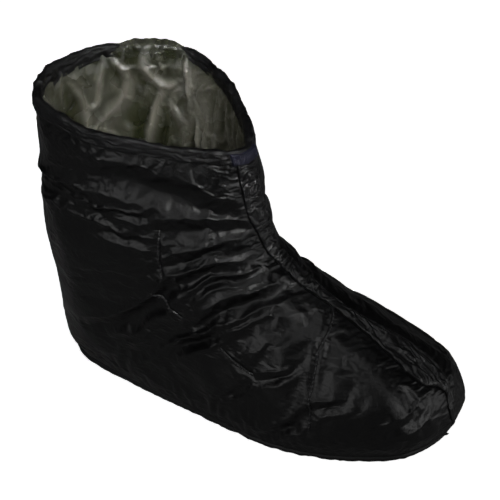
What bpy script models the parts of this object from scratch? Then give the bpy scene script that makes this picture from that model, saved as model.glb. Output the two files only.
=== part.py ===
# Insulated camp bootie for either foot, standing empty on its sole.
# Metres. The toe points to -Y, the wearer's right is -X, and the floor is z = 0.
import math
from functools import lru_cache

import bmesh
import bpy
from mathutils import Vector

# Driving sizes of the upper
FOOT_LENGTH = 0.303
BALL_WIDTH = 0.123
THROAT_REACH = 0.167      # heel's back to the bend at the front of the ankle
THROAT_HEIGHT = 0.1285
COLLAR_LENGTH = 0.157
COLLAR_WIDTH = 0.1175
COLLAR_BACK = 0.2225      # height of the collar's edge at the back
COLLAR_FRONT = 0.1985
SHAFT_LEAN = 0.0050       # how far the collar stands back of the heel
TOE_BEND = 0.008          # how far the toe turns to the wearer's left
WALL = 0.006              # shell, insulation and lining together

# Driving sizes of the sole and insole
SOLE_HEEL = 0.0113        # thickness under the heel
SOLE_BALL = 0.0075
SOLE_TOE = 0.0062
TOE_SPRING = 0.0055
SOLE_BULGE = 0.0006       # how far the padded side stands out past the upper's edge
SOLE_ROUND = 0.010        # width of the rounded edge underneath
ARCH_PINCH = 0.007        # how much further the flat underside draws in at the waist
INSOLE = 0.0035
INSOLE_SLACK = 0.0006     # how loosely the insole lies inside the wall

# Driving sizes of the trim
BINDING_OUTSIDE = 0.0085  # height of the tape outside the collar
BINDING_INSIDE = 0.007
BINDING_TAPE = 0.0013
STRIP_WIDTH = 0.014
STRIP_PROUD = 0.0012
TAB_LENGTH = 0.021
TAB_PROUD = 0.0010
TAB_MARGIN = 0.10         # share of the tape left bare above and below the tab
CLEARANCE = 0.0003        # between pieces that touch

# Rings of the upper from the sole's seam (step 0) to the collar (step 1).
# vamp: how far the front reaches, as a share of the way from throat to toe.
# rise: height of the front, as a share of the throat's height. lift: share of the way up the shaft.
# back: place of the back, as a share of the foot's length. up: its height, as a share of the collar's.
# heel_end to toe_end: half widths at the six stations, as shares of the ring's width.
# hug: how closely the ring follows the sole's top. sway: bend to the wearer's left, of the width.
# roll: sideways slope, falling to the right. seam: how far the front strip's centre line lies to the
# wearer's left of the ring's front, of the width. wall: share of the full wall.
COLUMNS = "step vamp rise lift back up heel_end heel waist ball toe toe_end hug sway roll seam wall".split()
RINGS = [
    (0.00, 0.955, 0.000, 0.00, 0.018, 0.000, 0.125, 0.235, 0.370, 0.470, 0.370, 0.225, 1.0, .00, .00, .02, 0.75),
    (0.07, 1.000, 0.110, 0.00, 0.000, 0.065, 0.145, 0.280, 0.400, 0.490, 0.395, 0.245, 1.0, .01, .00, .03, 1.00),
    (0.16, 0.950, 0.290, 0.00, -.004, 0.150, 0.150, 0.305, 0.410, 0.475, 0.380, 0.225, 0.6, .03, .00, .07, 1.00),
    (0.27, 0.760, 0.460, 0.00, -.004, 0.230, 0.150, 0.320, 0.405, 0.435, 0.315, 0.175, 0.2, .04, .00, .09, 1.00),
    (0.38, 0.480, 0.625, 0.00, -.004, 0.315, 0.150, 0.320, 0.400, 0.400, 0.275, 0.140, 0.0, .04, .00, .09, 1.00),
    (0.49, 0.210, 0.790, 0.00, -.006, 0.400, 0.150, 0.325, 0.400, 0.380, 0.250, 0.120, 0.0, .03, .00, .05, 1.00),
    (0.60, 0.010, 0.980, 0.00, -.006, 0.495, 0.150, 0.335, 0.405, 0.370, 0.240, 0.115, 0.0, .03, .02, .00, 1.00),
    (0.73, 0.000, 1.000, 0.33, -.006, 0.630, 0.155, 0.345, 0.435, 0.385, 0.235, 0.110, 0.0, .06, .05, -.02, 1.00),
    (0.86, 0.000, 1.000, 0.66, -.004, 0.810, 0.160, 0.350, 0.475, 0.395, 0.215, 0.100, 0.0, .11, .08, -.035, 0.90),
    (1.00, 0.000, 1.000, 1.00, 0.000, 1.000, 0.160, 0.345, 0.500, 0.395, 0.190, 0.085, 0.0, .15, .10, -.04, 0.40),
]
# Where the half widths stand, as shares of each ring's length from back to front.
STATIONS = {"heel_end": 0.025, "heel": 0.12, "waist": 0.40, "ball": 0.68, "toe": 0.90, "toe_end": 0.975}

# Broad folds pressed into the upper. side: 1 on the wearer's right, -1 on the left.
# away and step are the two ends: away runs from 0 at the back to 1 at the front.
# depth and width are shares of the wall and of the ball width; a negative depth is a ridge.
FOLD_COLUMNS = "side away_1 step_1 away_2 step_2 depth width".split()
FOLDS = [
    (1, 0.06, 0.72, 0.62, 0.64, 0.60, 0.11),     # trough round the ankle from the back
    (1, 0.10, 0.86, 0.60, 0.80, -.30, 0.12),     # swelling above it
    (1, 0.45, 0.36, 0.86, 0.50, 0.60, 0.10),     # fold falling from the throat to the heel
    (1, 0.30, 0.30, 0.80, 0.40, -.30, 0.12),
    (-1, 0.08, 0.66, 0.62, 0.70, 0.50, 0.12),
    (-1, 0.45, 0.38, 0.88, 0.52, 0.60, 0.10),
]

# How finely the surfaces are cut
ROW_STEPS = 24            # from the sole's seam to the binding's lower edge
SIDE_COLUMNS = 22         # from the back to the tab's end, on each side
TRIM_COLUMNS = 4          # across half of the front strip
RING_SAMPLES = 60


def remove_all():
    for thing in list(bpy.data.objects):
        bpy.data.objects.remove(thing, do_unlink=True)


def blend(x, xs, ys):
    """Smooth curve through the points, with no overshoot."""
    last = len(xs) - 1
    i = max(0, min(last - 1, sum(x >= v for v in xs) - 1))
    gap = [xs[k + 1] - xs[k] for k in range(last)]
    rise = [(ys[k + 1] - ys[k]) / gap[k] for k in range(last)]

    def slope(k):
        if k == 0:
            return rise[0]
        if k == last:
            return rise[-1]
        if rise[k - 1] * rise[k] <= 0:
            return 0.0
        return 2 * rise[k - 1] * rise[k] / (rise[k - 1] + rise[k])

    t = (x - xs[i]) / gap[i]
    return ((2 * t**3 - 3 * t**2 + 1) * ys[i] + (t**3 - 2 * t**2 + t) * slope(i) * gap[i]
            + (3 * t**2 - 2 * t**3) * ys[i + 1] + (t**3 - t**2) * slope(i + 1) * gap[i])


def sole_top(share):
    """Height of the sole's upper edge, along it from heel to toe."""
    waist = (SOLE_HEEL + 2 * SOLE_BALL) / 3
    return blend(share, (0, 0.35, 0.70, 1), (SOLE_HEEL, waist, SOLE_BALL, TOE_SPRING + SOLE_TOE))


def ring_sizes(row):
    """One row of the table in metres."""
    ring = dict(zip(COLUMNS, row))
    toe_top = TOE_SPRING + SOLE_TOE
    collar_reach = COLLAR_LENGTH - SHAFT_LEAN
    span = BALL_WIDTH + (COLLAR_WIDTH - BALL_WIDTH) * ring["lift"]
    sizes = {name: ring[name] for name in ("step", "hug", "roll")}
    sizes.update({name: ring[name] * span for name in STATIONS})
    sizes["sway"] = ring["sway"] * span
    sizes["seam"] = ring["seam"] * span
    sizes["wall"] = ring["wall"] * WALL
    sizes["front"] = (THROAT_REACH + ring["vamp"] * (FOOT_LENGTH - THROAT_REACH)
                      + ring["lift"] * (collar_reach - THROAT_REACH))
    sizes["front_up"] = (toe_top + ring["rise"] * (THROAT_HEIGHT - toe_top)
                         + ring["lift"] * (COLLAR_FRONT - THROAT_HEIGHT))
    sizes["back"] = ring["back"] * FOOT_LENGTH - SHAFT_LEAN * ring["up"] ** 1.3
    sizes["back_up"] = SOLE_HEEL + ring["up"] * (COLLAR_BACK - SOLE_HEEL)
    return sizes


RING_SIZES = [ring_sizes(row) for row in RINGS]


@lru_cache(maxsize=None)
def ring_values(step):
    steps = [ring["step"] for ring in RING_SIZES]
    return {name: blend(step, steps, [ring[name] for ring in RING_SIZES]) for name in RING_SIZES[0]}


def through(points, t):
    """Point on the closed smooth curve through the points, at t points from the first."""
    i = math.floor(t)
    f = t - i
    p = [points[(i + k) % len(points)] for k in (-1, 0, 1, 2)]
    return [0.5 * (2 * p[1][c] + (p[2][c] - p[0][c]) * f
                   + (2 * p[0][c] - 5 * p[1][c] + 4 * p[2][c] - p[3][c]) * f**2
                   + (3 * p[1][c] - p[0][c] - 3 * p[2][c] + p[3][c]) * f**3) for c in (0, 1)]


@lru_cache(maxsize=None)
def ring_outline(step):
    """Half outline of a ring in plan from back to front: (half width, reach, length so far)."""
    ring = ring_values(step)
    back, front = ring["back"], ring["front"]
    side = [(ring[name], back + (front - back) * station) for name, station in STATIONS.items()]
    loop = [(0.0, back)] + side + [(0.0, front)] + [(-w, reach) for w, reach in reversed(side)]
    half = [through(loop, (len(side) + 1) * k / RING_SAMPLES) for k in range(RING_SAMPLES + 1)]
    lengths = [0.0]
    for a, b in zip(half, half[1:]):
        lengths.append(lengths[-1] + math.dist(a, b))
    return [(w, reach, length) for (w, reach), length in zip(half, lengths)]


def ring_point(step, side, away):
    """Point of the upper's outside, away metres of ring from the back, before any fold.
    Past the ring's front, it goes on round the other side."""
    ring = ring_values(step)
    outline = ring_outline(step)
    if away > outline[-1][2]:
        side, away = -side, 2 * outline[-1][2] - away
    k = next((i for i in range(1, RING_SAMPLES) if outline[i][2] >= away), RING_SAMPLES)
    low, high = outline[k - 1], outline[k]
    f = (away - low[2]) / (high[2] - low[2])
    half_width, reach = (low[c] + (high[c] - low[c]) * f for c in (0, 1))
    back, front = outline[0][1], outline[-1][1]
    share = min(1.0, max(0.0, (reach - back) / (front - back)))
    level = SOLE_HEEL + (TOE_SPRING + SOLE_TOE - SOLE_HEEL) * share
    left = -side * half_width + ring["sway"] * math.sin(math.pi * share)
    left += TOE_BEND * max(0.0, 2 * reach / FOOT_LENGTH - 1) ** 2
    up = ring["back_up"] + (ring["front_up"] - ring["back_up"]) * share
    up += ring["hug"] * (sole_top(share) - level) + ring["roll"] * left
    return Vector((left, FOOT_LENGTH / 2 - reach, up))


def fold_depth(side, away, step):
    """Depth of all folds at a place, away as a share of the ring from back to front."""
    depth = 0.0
    ring_length = 2.6 * BALL_WIDTH
    for row in FOLDS:
        fold = dict(zip(FOLD_COLUMNS, row))
        if fold["side"] != side:
            continue
        # distances on the surface unrolled flat: along the ring, and up the shaft or instep
        run = ((fold["away_2"] - fold["away_1"]) * ring_length, (fold["step_2"] - fold["step_1"]) * COLLAR_BACK)
        here = ((away - fold["away_1"]) * ring_length, (step - fold["step_1"]) * COLLAR_BACK)
        size = run[0] ** 2 + run[1] ** 2
        along = min(1.0, max(0.0, (here[0] * run[0] + here[1] * run[1]) / size))
        aside = math.hypot(here[0] - run[0] * along, here[1] - run[1] * along)
        reach = aside / (fold["width"] * BALL_WIDTH)
        if reach < 1:
            ends = math.sin(math.pi * (0.12 + 0.76 * along))
            depth += fold["depth"] * WALL * ends * (1 - reach**2) ** 2
    return depth


def column_places():
    """The grid's columns: a share of the side, or a distance back from the strip's centre."""
    tab_reach = TAB_LENGTH - STRIP_WIDTH / 2
    places = [("side", k / SIDE_COLUMNS) for k in range(SIDE_COLUMNS + 1)]
    places.append(("front", (tab_reach + STRIP_WIDTH / 2) / 2))
    places += [("front", STRIP_WIDTH / 2 * (1 - k / TRIM_COLUMNS)) for k in range(TRIM_COLUMNS + 1)]
    return tab_reach, places


def side_length(side, step):
    """Length of one side of a ring, from the back to the front strip's centre."""
    return ring_outline(step)[-1][2] + side * ring_values(step)["seam"]


def grid_point(row, side, place):
    """Outside point, fold depth and step of a grid place. A row is a share of the way up to the
    binding's edge, or a distance below the collar's edge."""
    tab_reach, _ = column_places()
    kind, value = place

    def away_at(step):
        length = side_length(side, step)
        return (length - tab_reach) * value if kind == "side" else length - value

    near_top = 0.9
    up_shaft = (ring_point(1.0, side, away_at(1.0)) - ring_point(near_top, side, away_at(near_top))).length
    fall = (1 - near_top) / up_shaft
    row_kind, row_value = row
    step = row_value * (1 - BINDING_OUTSIDE * fall) if row_kind == "share" else 1 - row_value * fall
    away = away_at(step)
    share = away / side_length(side, step)
    return ring_point(step, side, away), fold_depth(side, share, step), step


def upper_grid():
    """Outside points and outward directions, row by row, each row a loop from the back round
    the wearer's right to the front and back along the left."""
    _, places = column_places()
    last = len(places) - 1
    loop = [(1, place) for place in places] + [(-1, places[k]) for k in range(last - 1, 0, -1)]
    levels = [("share", k / ROW_STEPS) for k in range(ROW_STEPS + 1)]
    levels += [("below", BINDING_INSIDE), ("below", 0.0)]
    found = [[grid_point(level, side, place) for side, place in loop] for level in levels]
    bare = [[point for point, _, _ in row] for row in found]
    outward = directions(bare)
    points = [[point - direction * depth for (point, depth, _), direction in zip(row, ways)]
              for row, ways in zip(found, outward)]
    outward = directions(points)
    walls = [ring_values(row[0][2])["wall"] for row in found]
    return points, outward, walls


def directions(rows):
    """Outward direction at each point of a grid of loops; level at the first and last loop."""
    count = len(rows[0])
    out = []
    for i, row in enumerate(rows):
        below, above = rows[max(0, i - 1)], rows[min(len(rows) - 1, i + 1)]
        line = []
        for j in range(count):
            around = row[(j + 1) % count] - row[j - 1]
            way = around.cross(above[j] - below[j]).normalized()
            if i in (0, len(rows) - 1):
                way.z = 0
                way.normalize()
            line.append(way)
        out.append(line)
    return out


def offset(row, ways, depth):
    """The loop moved inwards by depth."""
    return [point - way * depth for point, way in zip(row, ways)]


def lifted(row, height):
    return [point + Vector((0, 0, height)) for point in row]


def new_object(name, bm, colour, roughness):
    # cut along the shorter diagonals, so that pieces which follow each other are cut alike
    bmesh.ops.triangulate(bm, faces=bm.faces, quad_method="SHORT_EDGE")
    bmesh.ops.recalc_face_normals(bm, faces=bm.faces)
    mesh = bpy.data.meshes.new(name)
    bm.to_mesh(mesh)
    bm.free()
    mesh.shade_smooth()
    mesh.set_sharp_from_angle(angle=math.radians(50))
    material = bpy.data.materials.new(name)
    material.use_nodes = True
    shader = material.node_tree.nodes["Principled BSDF"]
    shader.inputs["Base Color"].default_value = (*colour, 1)
    shader.inputs["Roughness"].default_value = roughness
    mesh.materials.append(material)
    thing = bpy.data.objects.new(name, mesh)
    bpy.context.scene.collection.objects.link(thing)
    return thing


def add_loops(bm, loops):
    return [[bm.verts.new(point) for point in loop] for loop in loops]


def join_loops(bm, low, high):
    """A band of quads between two closed loops with as many points each."""
    count = len(low)
    for j in range(count):
        k = (j + 1) % count
        bm.faces.new((low[j], low[k], high[k], high[j]))


def ladder(bm, loop):
    """Close a loop that is the same on both sides of its centre line, rung by rung."""
    last = len(loop) // 2
    bm.faces.new((loop[0], loop[1], loop[-1]))
    for j in range(1, last - 1):
        bm.faces.new((loop[j], loop[j + 1], loop[-j - 1], loop[-j]))
    bm.faces.new((loop[last - 1], loop[last], loop[last + 1]))


def tube_solid(name, loops, colour, roughness):
    """A solid through closed loops, the last joined to the first, such as a hollow wall."""
    bm = bmesh.new()
    rings = add_loops(bm, loops)
    for low, high in zip(rings, rings[1:] + rings[:1]):
        join_loops(bm, low, high)
    return new_object(name, bm, colour, roughness)


def stacked_solid(name, loops, colour, roughness):
    """A solid through closed loops, closed across the first and the last."""
    bm = bmesh.new()
    rings = add_loops(bm, loops)
    for low, high in zip(rings, rings[1:]):
        join_loops(bm, low, high)
    ladder(bm, rings[0])
    ladder(bm, rings[-1])
    return new_object(name, bm, colour, roughness)


def sheet_solid(name, under, over, colour, roughness):
    """A solid between two open grids of the same size, such as a strip of tape."""
    bm = bmesh.new()
    low, high = add_loops(bm, under), add_loops(bm, over)
    rows, columns = len(low), len(low[0])
    for grid in (low, high):
        for i in range(rows - 1):
            for j in range(columns - 1):
                bm.faces.new((grid[i][j], grid[i][j + 1], grid[i + 1][j + 1], grid[i + 1][j]))
    rim = [(0, j) for j in range(columns)] + [(i, columns - 1) for i in range(1, rows)]
    rim += [(rows - 1, j) for j in range(columns - 2, -1, -1)] + [(i, 0) for i in range(rows - 2, 0, -1)]
    for (a, b), (c, d) in zip(rim, rim[1:] + rim[:1]):
        bm.faces.new((low[a][b], low[c][d], high[c][d], high[a][b]))
    return new_object(name, bm, colour, roughness)


def make_upper(points, outward, walls):
    """The hollow wall: outside up from the sole's seam, over the collar's edge, inside down."""
    inside = [offset(row, ways, wall) for row, ways, wall in zip(points, outward, walls)]
    return tube_solid("upper", points + inside[::-1], (0.012, 0.012, 0.014), 0.38)


def inset_loop(loop, amount):
    """A level loop drawn in by amount, or by an amount for each point."""
    count = len(loop)
    amounts = amount if isinstance(amount, list) else [amount] * count
    out = []
    for j, point in enumerate(loop):
        along = loop[(j + 1) % count] - loop[j - 1]
        inward = Vector((along.y, -along.x, 0)).normalized()
        out.append(point - inward * amounts[j])
    return out


def sole_bottom(point):
    """Height of the sole's underside: flat to the ball, then the toe spring."""
    reach = FOOT_LENGTH / 2 - point.y
    ball = 0.70 * FOOT_LENGTH
    rise = max(0.0, (reach - ball) / (FOOT_LENGTH - ball))
    return TOE_SPRING * rise**2


def arch_share(point):
    """How far into the waist a point lies, from 0 at heel and ball to 1."""
    reach = (FOOT_LENGTH / 2 - point.y) / FOOT_LENGTH
    place = (reach - 0.22) / (0.62 - 0.22)
    return math.sin(math.pi * place) ** 2 if 0 < place < 1 else 0.0


def make_sole(base):
    """Padded sole under the upper's lowest loop: flat underneath, rounded at the edge."""
    pinch = [ARCH_PINCH * arch_share(point) for point in base]

    def side_loop(inset, share, pinched=0.0):
        loop = inset_loop(base, [inset + pinched * extra for extra in pinch])
        return [Vector((p.x, p.y, sole_bottom(b) + (b.z - CLEARANCE - sole_bottom(b)) * share))
                for p, b in zip(loop, base)]

    loops = [
        side_loop(SOLE_ROUND, 0.0, 1.0),
        side_loop(0.45 * SOLE_ROUND, 0.12, 0.6),
        side_loop(0.12 * SOLE_ROUND, 0.34, 0.2),
        side_loop(-SOLE_BULGE, 0.62),
        side_loop(-0.5 * SOLE_BULGE, 0.86),
        side_loop(0.0012, 1.0),
    ]
    return stacked_solid("sole", loops, (0.012, 0.012, 0.014), 0.45)


def make_insole(inner_base):
    """Thin pad on the sole, cut to the upper's inner edge, its top edge eased."""
    low = inset_loop(inner_base, CLEARANCE + INSOLE_SLACK)
    loops = [low, lifted(low, INSOLE * 0.65), lifted(inset_loop(low, INSOLE * 0.45), INSOLE)]
    return stacked_solid("insole", loops, (0.16, 0.165, 0.15), 0.5)


def make_binding(points, outward, walls):
    """Tape folded over the collar's edge, a U in section that follows both faces of the wall."""
    near, far = CLEARANCE, CLEARANCE + BINDING_TAPE

    def outside(row, depth):
        return offset(points[row], outward[row], -depth)

    def inside(row, depth):
        return offset(points[row], outward[row], walls[row] + depth)

    # rows of the grid: -3 and -2 are the tape's outside and inside edges, -1 is the collar's
    loops = [outside(row, near) for row in (-3, -2)]
    loops += [lifted(outside(-1, near), near), lifted(inside(-1, near), near)]
    loops += [inside(-2, near), inside(-2, far), inside(-1, far)]
    loops += [lifted(inside(-1, 0.35 * far), far), lifted(outside(-1, 0.35 * far), far)]
    loops += [outside(row, far) for row in (-1, -2, -3)]
    return tube_solid("collar_binding", loops, (0.010, 0.010, 0.012), 0.55)


def front_columns(row, extra):
    """The strip's stretch of a loop, with extra columns on the wearer's right."""
    front = len(row) // 2
    return row[front - TRIM_COLUMNS - extra:front + TRIM_COLUMNS + 1]


def make_front_strip(points, outward):
    """Gathered strip down the front, from just under the binding to the sole's seam."""
    under, over = [], []
    for grid, depth in ((under, CLEARANCE), (over, CLEARANCE + STRIP_PROUD)):
        grid += [front_columns(offset(points[i], outward[i], -depth), 0) for i in range(ROW_STEPS + 1)]
        for j, (last, edge) in enumerate(zip(grid[-2], grid[-1])):
            grid[-1][j] = edge + (last - edge).normalized() * CLEARANCE
    return sheet_solid("front_strip", under, over, (0.012, 0.012, 0.014), 0.5)


def make_front_tab(points, outward):
    """Short tack over the binding at the front of the collar."""
    base = BINDING_TAPE + 2 * CLEARANCE
    under, over = [], []
    for grid, depth in ((under, base), (over, base + TAB_PROUD)):
        low, middle, high = (offset(points[row], outward[row], -depth) for row in (-3, -2, -1))
        bottom = [a + (b - a) * TAB_MARGIN for a, b in zip(low, middle)]
        top = [b + (c - b) * (1 - TAB_MARGIN) for b, c in zip(middle, high)]
        grid += [front_columns(row, 2) for row in (bottom, middle, top)]
    return sheet_solid("front_tab", under, over, (0.012, 0.016, 0.055), 0.6)


def main():
    remove_all()
    points, outward, walls = upper_grid()
    make_upper(points, outward, walls)
    make_sole(points[0])
    inner_base = offset(points[0], outward[0], walls[0])
    make_insole(inner_base)
    make_binding(points, outward, walls)
    make_front_strip(points, outward)
    make_front_tab(points, outward)


main()
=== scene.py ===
# Insulated camp bootie: its looks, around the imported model
import math

import bpy
import numpy as np
from mathutils import Matrix, Vector


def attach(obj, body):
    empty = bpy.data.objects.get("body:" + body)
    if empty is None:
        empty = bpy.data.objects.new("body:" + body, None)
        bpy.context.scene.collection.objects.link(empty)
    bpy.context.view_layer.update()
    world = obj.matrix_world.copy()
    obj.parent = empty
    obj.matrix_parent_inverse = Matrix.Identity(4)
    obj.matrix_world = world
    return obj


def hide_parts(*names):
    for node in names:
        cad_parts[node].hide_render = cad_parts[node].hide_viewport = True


# Shape of the upper, in the shoe's own sizes and rings, in metres
shoe = {
    "length": 0.303, "ball": 0.123, "throatReach": 0.167, "throatHeight": 0.1285,
    "collarLength": 0.157, "collarWidth": 0.1175, "collarBack": 0.2225, "collarFront": 0.1985,
    "lean": 0.0050, "wall": 0.006, "soleHeel": 0.0113, "soleBall": 0.0075, "soleToe": 0.0062,
    "spring": 0.0055, "insole": 0.0035, "bindingOut": 0.0085, "bindingIn": 0.007,
    "bindingTape": 0.0013, "stripWidth": 0.014, "gap": 0.0003, "toeBend": 0.008,
}
# Rings from the sole's edge at step 0 to the collar's at step 1, as shares of the sizes above. The widths
# stand along each ring from heelEnd to toeEnd. hug follows the sole, sway and roll bend the ring sideways,
# and seam moves the front strip.
ringNames = "step vamp rise lift back up heelEnd heel waist ball toe toeEnd hug sway roll seam wall".split()
ringTable = np.array([
    (.00, .955, .000, .00, .018, .000, .125, .235, .370, .470, .370, .225, 1.0, .00, .00, .02, .75),
    (.07, 1.000, .110, .00, .000, .065, .145, .280, .400, .490, .395, .245, 1.0, .01, .00, .03, 1.00),
    (.16, .950, .290, .00, -.004, .150, .150, .305, .410, .475, .380, .225, .6, .03, .00, .07, 1.00),
    (.27, .760, .460, .00, -.004, .230, .150, .320, .405, .435, .315, .175, .2, .04, .00, .09, 1.00),
    (.38, .480, .625, .00, -.004, .315, .150, .320, .400, .400, .275, .140, .0, .04, .00, .09, 1.00),
    (.49, .210, .790, .00, -.006, .400, .150, .325, .400, .380, .250, .120, .0, .03, .00, .05, 1.00),
    (.60, .010, .980, .00, -.006, .495, .150, .335, .405, .370, .240, .115, .0, .03, .02, .00, 1.00),
    (.73, .000, 1.000, .33, -.006, .630, .155, .345, .435, .385, .235, .110, .0, .06, .05, -.02, 1.00),
    (.86, .000, 1.000, .66, -.004, .810, .160, .350, .475, .395, .215, .100, .0, .11, .08, -.035, .90),
    (1.00, .000, 1.000, 1.00, .000, 1.000, .160, .345, .500, .395, .190, .085, .0, .15, .10, -.04, .40),
])
stationNames = ["heelEnd", "heel", "waist", "ball", "toe", "toeEnd"]
stationShares = [0.025, 0.12, 0.40, 0.68, 0.90, 0.975]


def blend(x, xs, ys):
    # smooth curves through the points without overshoot, one for each column of ys
    x, xs, ys = np.atleast_1d(np.asarray(x, float)), np.asarray(xs, float), np.asarray(ys, float)
    flat = ys.ndim == 1
    ys = ys[:, None] if flat else ys
    gaps = np.diff(xs)[:, None]
    rise = np.diff(ys, axis=0) / gaps
    slopes = np.vstack([rise[:1], np.zeros_like(rise[1:]), rise[-1:]])
    highlightShare = rise[:-1] + rise[1:]
    same = rise[:-1] * rise[1:] > 0
    slopes[1:-1] = np.where(same, 2 * rise[:-1] * rise[1:] / np.where(same, highlightShare, 1), 0)
    i = np.clip(np.searchsorted(xs, x, side="right") - 1, 0, len(gaps) - 1)
    t = (x - xs[i])[:, None] / gaps[i]
    out = ((2 * t**3 - 3 * t**2 + 1) * ys[i] + (t**3 - 2 * t**2 + t) * slopes[i] * gaps[i]
           + (3 * t**2 - 2 * t**3) * ys[i + 1] + (t**3 - t**2) * slopes[i + 1] * gaps[i])
    return out[:, 0] if flat else out


def soleTop(share):
    waist = (shoe["soleHeel"] + 2 * shoe["soleBall"]) / 3
    heights = (shoe["soleHeel"], waist, shoe["soleBall"], shoe["spring"] + shoe["soleToe"])
    return blend(np.ravel(share), (0, 0.35, 0.70, 1), heights).reshape(np.shape(share))


def ringSizes():
    # the ring table in metres, one column for each size
    r = dict(zip(ringNames, ringTable.T))
    toeTop = shoe["spring"] + shoe["soleToe"]
    collarReach = shoe["collarLength"] - shoe["lean"]
    span = shoe["ball"] + (shoe["collarWidth"] - shoe["ball"]) * r["lift"]
    sizes = {name: r[name] * span for name in stationNames + ["sway", "seam"]}
    sizes["hug"], sizes["roll"], sizes["wall"] = r["hug"], r["roll"], r["wall"] * shoe["wall"]
    sizes["front"] = (shoe["throatReach"] + r["vamp"] * (shoe["length"] - shoe["throatReach"])
                      + r["lift"] * (collarReach - shoe["throatReach"]))
    sizes["frontUp"] = (toeTop + r["rise"] * (shoe["throatHeight"] - toeTop)
                        + r["lift"] * (shoe["collarFront"] - shoe["throatHeight"]))
    sizes["back"] = r["back"] * shoe["length"] - shoe["lean"] * r["up"] ** 1.3
    sizes["backUp"] = shoe["soleHeel"] + r["up"] * (shoe["collarBack"] - shoe["soleHeel"])
    return r["step"], sizes


tableSteps, tableSizes = ringSizes()


def between(a, b, c, d, f):
    # the smooth curve from b to c, where a comes before them and d after
    return 0.5 * (2 * b + (c - a) * f + (2 * a - 5 * b + 4 * c - d) * f**2 + (3 * b - a - 3 * c + d) * f**3)


def ringsAt(steps):
    # the rings at these steps: their sizes, and half an outline of each, back to front
    names = list(tableSizes)
    found = blend(steps, tableSteps, np.stack([tableSizes[n] for n in names], 1))
    ring = {n: found[:, k] for k, n in enumerate(names)}
    back, front = ring["back"], ring["front"]
    count = len(stationNames)
    side = [np.stack([ring[n], back + (front - back) * s], 1) for n, s in zip(stationNames, stationShares)]
    loop = [np.stack([0 * back, back], 1), *side, np.stack([0 * back, front], 1)]
    loop += [p * [-1, 1] for p in side[::-1]]
    t = np.linspace(0, count + 1, 201)[:-1]
    i, f = np.floor(t).astype(int), (t - np.floor(t))[:, None, None]
    p = [np.stack([loop[(j + k) % len(loop)] for j in i]) for k in (-1, 0, 1, 2)]
    half = between(*p, f)
    half = np.concatenate([half, loop[count + 1][None]]).transpose(1, 0, 2)
    run = np.linalg.norm(np.diff(half, axis=1), axis=2)
    lengths = np.concatenate([np.zeros((len(run), 1)), np.cumsum(run, 1)], 1)
    return ring, half, lengths


def surface(steps, away, side):
    # points of the upper's outside; away holds a row of distances from the back for each step,
    # and goes on round the other side where it passes the front
    ring, half, lengths = ringsAt(steps)
    whole = lengths[:, -1:]
    past = away > whole
    away = np.where(past, 2 * whole - away, away)
    wide = np.stack([np.interp(a, n, h[:, 0]) for a, n, h in zip(away, lengths, half)])
    wide = np.where(past, -wide, wide)
    reach = np.stack([np.interp(a, n, h[:, 1]) for a, n, h in zip(away, lengths, half)])
    back, front = ring["back"][:, None], ring["front"][:, None]
    share = np.clip((reach - back) / (front - back), 0, 1)
    level = shoe["soleHeel"] + (shoe["spring"] + shoe["soleToe"] - shoe["soleHeel"]) * share
    left = -side * wide + ring["sway"][:, None] * np.sin(np.pi * share)
    left = left + shoe["toeBend"] * np.maximum(0, 2 * reach / shoe["length"] - 1) ** 2
    up = ring["backUp"][:, None] + (ring["frontUp"] - ring["backUp"])[:, None] * share
    up = up + ring["hug"][:, None] * (soleTop(share) - level) + ring["roll"][:, None] * left
    return np.stack([left, shoe["length"] / 2 - reach, up], 2)


def outward(points):
    # outward directions of a grid of closed loops
    around = np.roll(points, -1, 1) - np.roll(points, 1, 1)
    along = np.gradient(points, axis=0)
    way = np.cross(around, along)
    return way / np.linalg.norm(way, axis=2, keepdims=True)


def perlin(points, seed):
    # smooth noise from about -1 to 1 at each point
    rng = np.random.default_rng(seed)
    table = np.tile(rng.permutation(256), 2)
    ways = rng.normal(size=(256, 3))
    ways /= np.linalg.norm(ways, axis=1)[:, None]
    cell = np.floor(points).astype(int)
    rest = points - cell
    ease = rest**3 * (rest * (rest * 6 - 15) + 10)
    out = np.zeros(points.shape[:-1])
    for corner in np.ndindex(2, 2, 2):
        c = (cell + corner) & 255
        way = ways[table[table[table[c[..., 0]] + c[..., 1]] + c[..., 2]]]
        weight = np.where(np.array(corner) == 1, ease, 1 - ease).prod(-1)
        out += weight * ((rest - corner) * way).sum(-1)
    return out * 1.5


def layered(points, size, seed, octaves=3):
    # noise of several sizes, the largest given in metres
    return sum(0.5**k * perlin(points / size * 2.0**k, seed + k) for k in range(octaves))


def ridged(points, size, seed):
    # noise with sharp crests, from 0 in the hollows to 1 on the crests
    out = sum(0.55**k * (1 - np.abs(perlin(points / size * 2.0**k, seed + k)) * 1.6) for k in range(2))
    return np.clip(out / 1.55, 0, 1)


def smoothStep(x):
    x = np.clip(x, 0, 1)
    return x * x * (3 - 2 * x)


def hill(x, centre, width):
    # 1 at the centre, and falling away over the width
    return np.exp(-(((x - centre) / width) ** 2))


def runAlong(points):
    # the length along a line up to each of its points
    return np.concatenate([[0], np.cumsum(np.linalg.norm(np.diff(points, axis=0), axis=1))])


def curveThrough(points, count):
    # points evenly spread on a smooth curve through the given ones
    p = np.asarray(points, float)
    p = np.vstack([2 * p[0] - p[1], p, 2 * p[-1] - p[-2]])
    t = np.linspace(0, len(p) - 3, count * 4)[:-1]
    i, f = np.floor(t).astype(int), (t - np.floor(t))[:, None]
    fine = np.vstack([between(p[i], p[i + 1], p[i + 2], p[i + 3], f), p[-2]])
    run = runAlong(fine)
    want = np.linspace(0, run[-1], count)
    return np.stack([np.interp(want, run, fine[:, k]) for k in range(fine.shape[1])], 1)


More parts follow.
